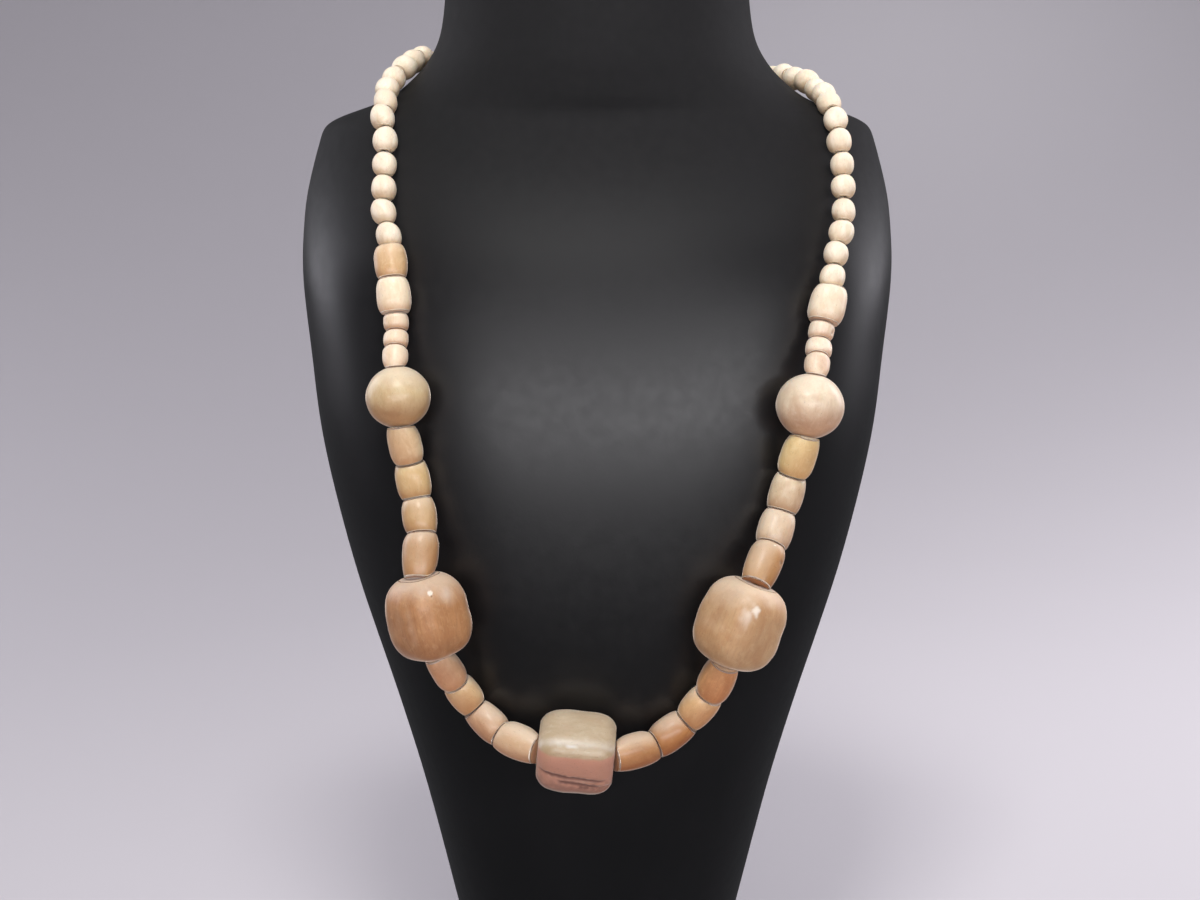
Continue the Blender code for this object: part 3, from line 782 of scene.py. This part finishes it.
beadMarksAndPaintedLight = {
    "centre_bead": (
        # the lower face is stained darker and pinker all over, partly its own tone and partly painted
        # shade, and the bead is darker still towards its bottom
        marked(turn=90, width=9.2, length=60, colour=(0, 0.9, 0), crisp=5, ragged=0.06, grain=3),
        marked(turn=126, along=1, width=6.6, length=40, colour=(0.45, 0, 0), crisp=1.4, ragged=0.25),
        # painted highlight: a pale band along the front edge between the faces, with a brighter spot at
        # its middle
        marked(turn=33, width=3.4, length=50, colour=(0, 0, 0.45), ragged=0.15, crisp=1.0),
        marked(turn=38, along=-1.5, width=1.5, length=5, colour=(0, 0, 0.85), ragged=0.15, crisp=0.9),
        marked(turn=5, along=-3.3, width=3.4, length=5.0, colour=(0, 0.25, 0), ragged=0.5, crisp=1.0),
        marked(turn=14, along=7.3, width=2.4, length=2.4, colour=(0, 0.24, 0), ragged=0.5, crisp=1.0),
        marked(turn=-14, along=6.0, width=3.0, length=5.5, colour=(0.10, 0.30, 0), ragged=0.6, crisp=1.0),
        marked(turn=98, along=2, width=0.8, length=10, colour=(0, 0, 0.22), ragged=0.3),
        marked(kind="slit", turn=92, along=-0.5, width=1.8, length=12.6, lean=5.5, depth=0.50,
               colour=(0.72, 0, 0), waver=0.5, ragged=0.5),
        marked(kind="slit", turn=106, along=2.0, width=2.0, length=8.4, lean=8, depth=0.45,
               colour=(0.72, 0, 0), waver=0.5, ragged=0.5),
        marked(turn=113, along=4.0, width=1.0, length=4.4, depth=0.2, colour=(0.60, 0, 0), ragged=0.5),
        marked(turn=118, along=9.5, width=2.0, length=2.6, depth=0.6, colour=(0.25, 0, 0)),
    ),
    "left_block_bead": (
        # painted highlight: a soft pale patch near the top of the front face
        marked(turn=4, along=7.5, width=6, length=6.5,
               colour=(0, 0, 0.52), ragged=0.25, crisp=0.8, grain=4),
        marked(turn=-8, along=10.5, width=7, length=2.2, colour=(0, 0, 0.25), ragged=0.6, crisp=0.9),
        marked(turn=-24, along=9.5, width=1.1, length=0.9, colour=(0, 0, 0.9), ragged=0.3, crisp=2.5),
        marked(turn=-23, along=8.3, width=0.5, length=0.3, depth=0.3, colour=(0.8, 0, 0), crisp=3),
        marked(turn=-62, width=4, length=16, colour=(0, 0, 0.25), ragged=0.3, crisp=0.9, grain=3),
        # a darker, pinker lower end: partly the bone's own stain, partly painted shade
        marked(turn=-20, along=-8, width=8, length=5,
               colour=(0, 0.35, 0), ragged=0.5, crisp=0.8, grain=4),
        marked(kind="slit", turn=8, along=-3, width=1.4, length=7, lean=5,
               colour=(0, 0.35, 0), waver=1.5),
        marked(kind="slit", turn=-14, along=1, width=1.2, length=6, lean=-4,
               colour=(0, 0.3, 0), waver=1.5),
        marked(kind="slit", turn=52, along=0, width=0.8, length=9, colour=(0, 0.5, 0), waver=1.2),
        marked(kind="slit", turn=64, along=-2, width=0.7, length=8, colour=(0, 0.5, 0), waver=1.0),
    ),
    "right_block_bead": (
        # painted highlight: a pale strip down the front edge with a brighter spot near its top
        marked(turn=-42, along=5, width=3.4, length=9,
               colour=(0, 0, 0.55), ragged=0.5, crisp=0.9, grain=2.4),
        marked(turn=-33, along=7.5, width=2.4, length=2.8, colour=(0, 0, 0.85), ragged=0.35, crisp=1.0),
        marked(turn=-8, along=10.5, width=7, length=3,
               colour=(0, 0, 0.25), ragged=0.5, crisp=0.9, grain=3),
        marked(turn=-78, along=1, width=4.5, length=7, colour=(0.12, 0, 0), ragged=0.9, grain=0.8),
        # a darker, pinker lower end: partly the bone's own stain, partly painted shade
        marked(turn=10, along=-9, width=9, length=4.5,
               colour=(0, 0.35, 0), ragged=0.4, crisp=0.8, grain=4),
        marked(kind="slit", turn=4, along=-2, width=1.6, length=9, lean=-5,
               colour=(0, 0.3, 0), waver=1.6),
    ),
    "right_barrel_bead_5": (
        marked(turn=52, along=0.5, width=0.9, length=0.7, depth=0.25, colour=(0.5, 0, 0.2), crisp=3),
        marked(turn=6, along=4.3, width=0.5, length=0.4, colour=(0, 0, 1), crisp=3),
    ),
    "right_spacer_bead_2": (
        marked(turn=62, along=0.8, width=1.6, length=0.9, depth=0.5, colour=(0.25, 0.3, 0), ragged=0.6),
    ),
    "right_spacer_bead_3": (
        marked(turn=58, along=-0.6, width=1.4, length=0.8, depth=0.4, colour=(0.2, 0.3, 0), ragged=0.6),
    ),
}


def largePlace(bead):
    wanted = upperFace if bead["kind"] == "centre" else viewer
    return readBead(bead, bead["kind"] in ("centre", "block"), wanted)


def makeLargeBead(bead, seed):
    name = bead["name"]
    shape, layers = newBeadShape()
    wear = {**steadyWear, **beadWears.get(name, {})}
    marks = beadMarksAndPaintedLight.get(name, ())
    turnBead(shape, layers, largePlace(bead), beadForms[bead["kind"]], wear, seed, marks)
    finish = boneFinish(name + "_finish", lookFor(slotOf[name], beadLooks.get(name, {})))
    finishBeads(name + "_bone", shape, finish, name)


largeBeads = [bead for bead in loopBeads if bead["kind"] != "small"]
for seed, bead in enumerate(largeBeads):
    makeLargeBead(bead, seed + 1)
print("large beads turned:", len(largeBeads))


# Small beads

smallWear = {
    "oval": 0.035, "taper": 0.05, "lumps": 0.055, "dents": 0.014,
    "size": 0.03, "tilt": 0.17, "slide": 0.50 * mm, "narrowTop": 0.0,
}

smallLook = {
    "light": (0.92, 0.83, 0.68),
    "deep": (0.78, 0.65, 0.48),
    "cloudScale": 0.22,
    "mottle": 0.6,
    "rough": 0.46,
    "coat": 0.08,
    "sheen": 0.20,
    "paintedUndersideShade": 1.0,
    "shade": (0.80, 0.68, 0.55),
}

smallSeeds = {"left_small_beads": 100, "right_small_beads": 200}


def makeSmallBeads(name, seed):
    # a run of small beads as one piece
    shape, layers = newBeadShape()
    beads = [bead for bead in loopBeads if bead["name"] == name]
    for number, bead in enumerate(beads):
        place = beadPlace(bead, viewer, bead["halfWidth"])
        turnBead(shape, layers, place, beadForms["small"], smallWear, seed + number)
    finish = boneFinish(name + "_finish", lookFor(slotOf[name], smallLook))
    finishBeads(name + "_bone", shape, finish, name)


for name, seed in smallSeeds.items():
    makeSmallBeads(name, seed)
print("small beads turned")


# Thread

threadSettings = {
    "plyWidth": 0.52 * mm,
    "layReach": 0.24 * mm,  # how far each ply runs from the thread's middle
    "layLength": 2.6 * mm,  # the thread's length for one full twist
    "step": 0.65 * mm,
    "sides": 1,
    "fibreScale": 4200.0,
    "wearScale": 160.0,
    "deep": (0.17, 0.115, 0.07),
    "light": (0.42, 0.31, 0.20),
    "worn": (0.24, 0.16, 0.10),
    "rough": 0.85,
    "sheen": 0.3,
    "relief": 0.5,
    "reliefDepth": 0.05 * mm,
}


def evenSteps(stops, step):
    spots = []
    for start, end in zip(stops, stops[1:] + stops[:1]):
        count = max(round((end - start).length / step), 1)
        spots += [start.lerp(end, i / count) for i in range(count)]
    return spots


def threadFinish():
    finish, tree, shader = newFinish("thread_finish")
    spot = addNode(tree, "TexCoord", {}).outputs["Object"]
    fibres = addNoise(tree, spot, threadSettings["fibreScale"], 4.0, 0.7, 0.5)
    wear = addNoise(tree, spot, threadSettings["wearScale"], 3.0, 0.6)
    fibrous = addRange(tree, fibres, 0.3, 0.7)
    tone = addMix(tree, fibrous, threadSettings["deep"], threadSettings["light"])
    tone = addMix(tree, addShare(tree, wear, 0.5, 0.7, 0.5), tone, threadSettings["worn"])
    setInput(tree, shader.inputs["Base Color"], tone)
    shader.inputs["Roughness"].default_value = threadSettings["rough"]
    shader.inputs["Sheen Weight"].default_value = threadSettings["sheen"]
    values = {
        "Height": fibres, "Strength": threadSettings["relief"],
        "Distance": threadSettings["reliefDepth"]}
    bump = addNode(tree, "Bump", values)
    setInput(tree, shader.inputs["Normal"], bump.outputs["Normal"])
    return finish


def makeThread():
    # two plies laid round each other along the whole loop
    stops = [bead[side] for bead in loopBeads for side in ("start", "end")]
    spots = evenSteps(stops, threadSettings["step"])
    path = bpy.data.curves.new("bead_thread", "CURVE")
    path.dimensions = "3D"
    path.bevel_depth = threadSettings["plyWidth"] / 2
    path.bevel_resolution = threadSettings["sides"]
    plies = [path.splines.new("POLY") for _ in range(2)]
    for ply in plies:
        ply.points.add(len(spots) - 1)
        ply.use_cyclic_u = True
    side = (spots[1] - spots[0]).orthogonal().normalized()
    run = 0.0
    for i, spot in enumerate(spots):
        ahead = (spots[(i + 1) % len(spots)] - spots[i - 1]).normalized()
        side = (side - ahead * side.dot(ahead)).normalized()
        other = ahead.cross(side)
        for number, ply in enumerate(plies):
            turn = math.tau * run / threadSettings["layLength"] + number * math.pi
            reach = (side * math.cos(turn) + other * math.sin(turn)) * threadSettings["layReach"]
            ply.points[i].co = (*(spot + reach), 1.0)
        run += (spots[(i + 1) % len(spots)] - spot).length
    piece = bpy.data.objects.new("bead_thread", path)
    path.materials.append(threadFinish())
    scene.collection.objects.link(piece)
    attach(piece, "root")
    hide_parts("thread")
    print("thread length:", round(run / mm), "mm")


makeThread()
print("thread strung")


# Neck bust

bustSettings = {
    "levels": 2,
    "skin": 0.30 * mm,  # taken back by the smoothing of its forty sides
    "rimCrease": 0.6,
    "footCrease": 0.9,
    "joinBend": 0.6,  # how far two triangles may bend and skew and still become one face
    "joinSkew": 3.1,
    "capCorners": 8,  # only the neck's and the foot's flat caps have more corners
    "tone": (0.0055, 0.0055, 0.0062),
    "cloudTone": (0.0080, 0.0076, 0.0086),
    "rough": 0.34,
    "matteNeck": 0.44,  # how much rougher the neck is than the chest
    "matteFrom": (0.265, 0.325),  # the heights between which it turns so
    "specular": 0.60,
    "cloudScale": 9.0,
    "grainScale": 900.0,
    "dustScale": 260.0,
    "dust": 0.05,  # how far the dust changes the gloss
    "relief": 0.25,
    "reliefDepth": 0.06 * mm,
}


def bustFinish():
    finish, tree, shader = newFinish("bust_satin_black_finish")
    spot = addNode(tree, "TexCoord", {}).outputs["Object"]
    cloud = addNoise(tree, spot, bustSettings["cloudScale"], 4.0, 0.6, 0.5)
    grain = addNoise(tree, spot, bustSettings["grainScale"], 3.0, 0.6)
    dust = addNoise(tree, spot, bustSettings["dustScale"], 2.0, 0.5)
    cloudy = addRange(tree, cloud, 0.35, 0.65)
    tone = addMix(tree, cloudy, bustSettings["tone"], bustSettings["cloudTone"])
    setInput(tree, shader.inputs["Base Color"], tone)
    low = bustSettings["rough"]
    rough = addRange(tree, cloud, 0.3, 0.7, low, low + 0.05, False)
    dusty = addRange(tree, dust, 0.0, 1.0, -bustSettings["dust"], bustSettings["dust"], False)
    rough = addMath(tree, "ADD", rough, dusty)
    height = addNode(tree, "SeparateXYZ", {"Vector": spot}).outputs["Z"]
    matte = addRange(tree, height, *bustSettings["matteFrom"], 0.0, bustSettings["matteNeck"])
    rough = addMath(tree, "ADD", rough, matte)
    setInput(tree, shader.inputs["Roughness"], rough)
    shader.inputs["IOR"].default_value = 1.5
    shader.inputs["Specular IOR Level"].default_value = bustSettings["specular"]
    values = {
        "Height": grain, "Strength": bustSettings["relief"], "Distance": bustSettings["reliefDepth"]}
    bump = addNode(tree, "Bump", values)
    setInput(tree, shader.inputs["Normal"], bump.outputs["Normal"])
    return finish


def makeBust():
    shape = flatFaces(mergedShape("neck_bust"))
    bmesh.ops.join_triangles(
        shape, faces=shape.faces, angle_face_threshold=bustSettings["joinBend"],
        angle_shape_threshold=bustSettings["joinSkew"])
    caps = [face for face in shape.faces if len(face.verts) > bustSettings["capCorners"]]
    crease = shape.edges.layers.float.new("crease_edge")
    held = {vert for face in caps for vert in face.verts}
    for cap in caps:
        low = cap.calc_center_median().z < cadHigh[2] / 2
        for edge in cap.edges:
            edge[crease] = bustSettings["footCrease"] if low else bustSettings["rimCrease"]
    shape.normal_update()
    for vert in shape.verts:
        if vert not in held:
            proud = vert.co + vert.normal * bustSettings["skin"]
            vert.co = [min(max(proud[i], cadLow[i]), cadHigh[i]) for i in range(3)]
    name = "neck_bust_skin"
    mesh = bpy.data.meshes.new(name)
    shape.to_mesh(mesh)
    shape.free()
    mesh.shade_smooth()
    mesh.materials.append(bustFinish())
    piece = bpy.data.objects.new(name, mesh)
    scene.collection.objects.link(piece)
    smooth = piece.modifiers.new("smooth", "SUBSURF")
    smooth.levels = bustSettings["levels"]
    smooth.render_levels = bustSettings["levels"]
    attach(piece, "root")
    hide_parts("neck_bust")


makeBust()
print("bust smoothed")


# Studio

studio = {
    "radius": 2.2,
    "cove": 1.6,
    "height": 2.6,
    "coveSteps": 16,
    "sides": 96,
    "tone": (0.55, 0.53, 0.565),
    "rough": 0.85,
    "specular": 0.2,
    "world": 0.10,
    "worldTone": (0.80, 0.80, 0.86),
}

softboxes = {
    "key": {
        "place": (-0.03, -0.36, 0.92), "aim": (0.0, -0.06, 0.24), "size": (0.20, 0.20),
        "watts": 3.4, "tone": (1.0, 0.98, 0.95), "mirrored": False},
    "sparkle": {
        "place": (-0.10, -0.60, 1.15), "aim": (0.0, -0.06, 0.24), "size": (0.26, 0.36),
        "watts": 2.8, "tone": (1.0, 0.98, 0.95), "mirrored": True},
    "low_front": {
        "place": (0.16, -1.10, 0.43), "aim": (0.0, -0.06, 0.25), "size": (1.60, 0.13),
        "watts": 6.5, "tone": (0.98, 0.97, 1.0), "mirrored": True},
    "side_left": {
        "place": (-1.15, 0.50, 0.62), "aim": (0.0, 0.0, 0.25), "size": (0.7, 0.9),
        "watts": 4.6, "tone": (0.93, 0.92, 1.0), "mirrored": True},
    "side_right": {
        "place": (1.15, 0.50, 0.62), "aim": (0.0, 0.0, 0.25), "size": (0.7, 0.9),
        "watts": 5.0, "tone": (0.95, 0.93, 1.0), "mirrored": True},
    "overhead": {
        "place": (0.0, 0.6, 2.3), "aim": (0.0, 0.5, 0.0), "size": (1.6, 1.2),
        "watts": 9.6, "tone": (0.96, 0.96, 1.0), "mirrored": False},
    "floor_glow": {
        "place": (0.56, 0.32, 0.75), "aim": (0.30, 0.42, 0.0), "size": (0.30, 0.30),
        "watts": 3.5, "tone": (1.0, 0.97, 0.97), "mirrored": False},
    "wall_wash": {
        "place": (0.32, 1.30, 0.80), "aim": (0.34, 2.0, 0.45), "size": (0.3, 0.3),
        "watts": 0.65, "tone": (1.0, 1.0, 0.98), "mirrored": False},
}


def makeStage():
    # a pale round floor that sweeps up into a wall on all sides
    shape = bmesh.new()
    radius, cove = studio["radius"], studio["cove"]
    outline = [(0.0, 0.0), (radius - cove, 0.0)]
    for i in range(1, studio["coveSteps"] + 1):
        angle = math.pi / 2 * i / studio["coveSteps"]
        outline.append((radius - cove + cove * math.sin(angle), cove - cove * math.cos(angle)))
    outline.append((radius, studio["height"]))
    points = [shape.verts.new((reach, 0, height)) for reach, height in outline]
    edges = [shape.edges.new(pair) for pair in zip(points, points[1:])]
    bmesh.ops.spin(
        shape, geom=points + edges, cent=(0, 0, 0), axis=(0, 0, 1), angle=math.tau,
        steps=studio["sides"], use_merge=True, use_duplicate=False)
    bmesh.ops.remove_doubles(shape, verts=shape.verts, dist=0.01 * mm)
    bmesh.ops.recalc_face_normals(shape, faces=shape.faces)
    bmesh.ops.reverse_faces(shape, faces=shape.faces)
    mesh = bpy.data.meshes.new("studio_floor")
    shape.to_mesh(mesh)
    shape.free()
    mesh.shade_smooth()
    floor = bpy.data.objects.new("studio_floor", mesh)
    scene.collection.objects.link(floor)
    finish, tree, shader = newFinish("studio_floor_finish")
    shader.inputs["Base Color"].default_value = (*studio["tone"], 1)
    shader.inputs["Roughness"].default_value = studio["rough"]
    shader.inputs["Specular IOR Level"].default_value = studio["specular"]
    mesh.materials.append(finish)
    floor.visible_glossy = False  # the satin bust mirrors a dim room, not the pale floor


def hangSoftbox(name, box):
    light = bpy.data.lights.new(name, "AREA")
    light.shape = "RECTANGLE"
    light.size, light.size_y = box["size"]
    light.energy = box["watts"]
    light.color = box["tone"]
    lamp = bpy.data.objects.new(name, light)
    lamp.location = box["place"]
    aim = Vector(box["aim"]) - Vector(box["place"])
    lamp.rotation_euler = aim.to_track_quat("-Z", "Y").to_euler()
    lamp.visible_camera = False
    lamp.visible_glossy = box["mirrored"]  # whether the glossy pieces mirror it
    scene.collection.objects.link(lamp)


def lightStudio():
    for name, box in softboxes.items():
        hangSoftbox(name, box)
    world = bpy.data.worlds.new("soft_room")
    scene.world = world
    world.use_nodes = True
    background = world.node_tree.nodes["Background"]
    background.inputs["Color"].default_value = (*studio["worldTone"], 1)
    background.inputs["Strength"].default_value = studio["world"]


makeStage()
lightStudio()
scene.view_settings.view_transform = "Standard"
print("studio lit")

bpy.context.view_layer.update()
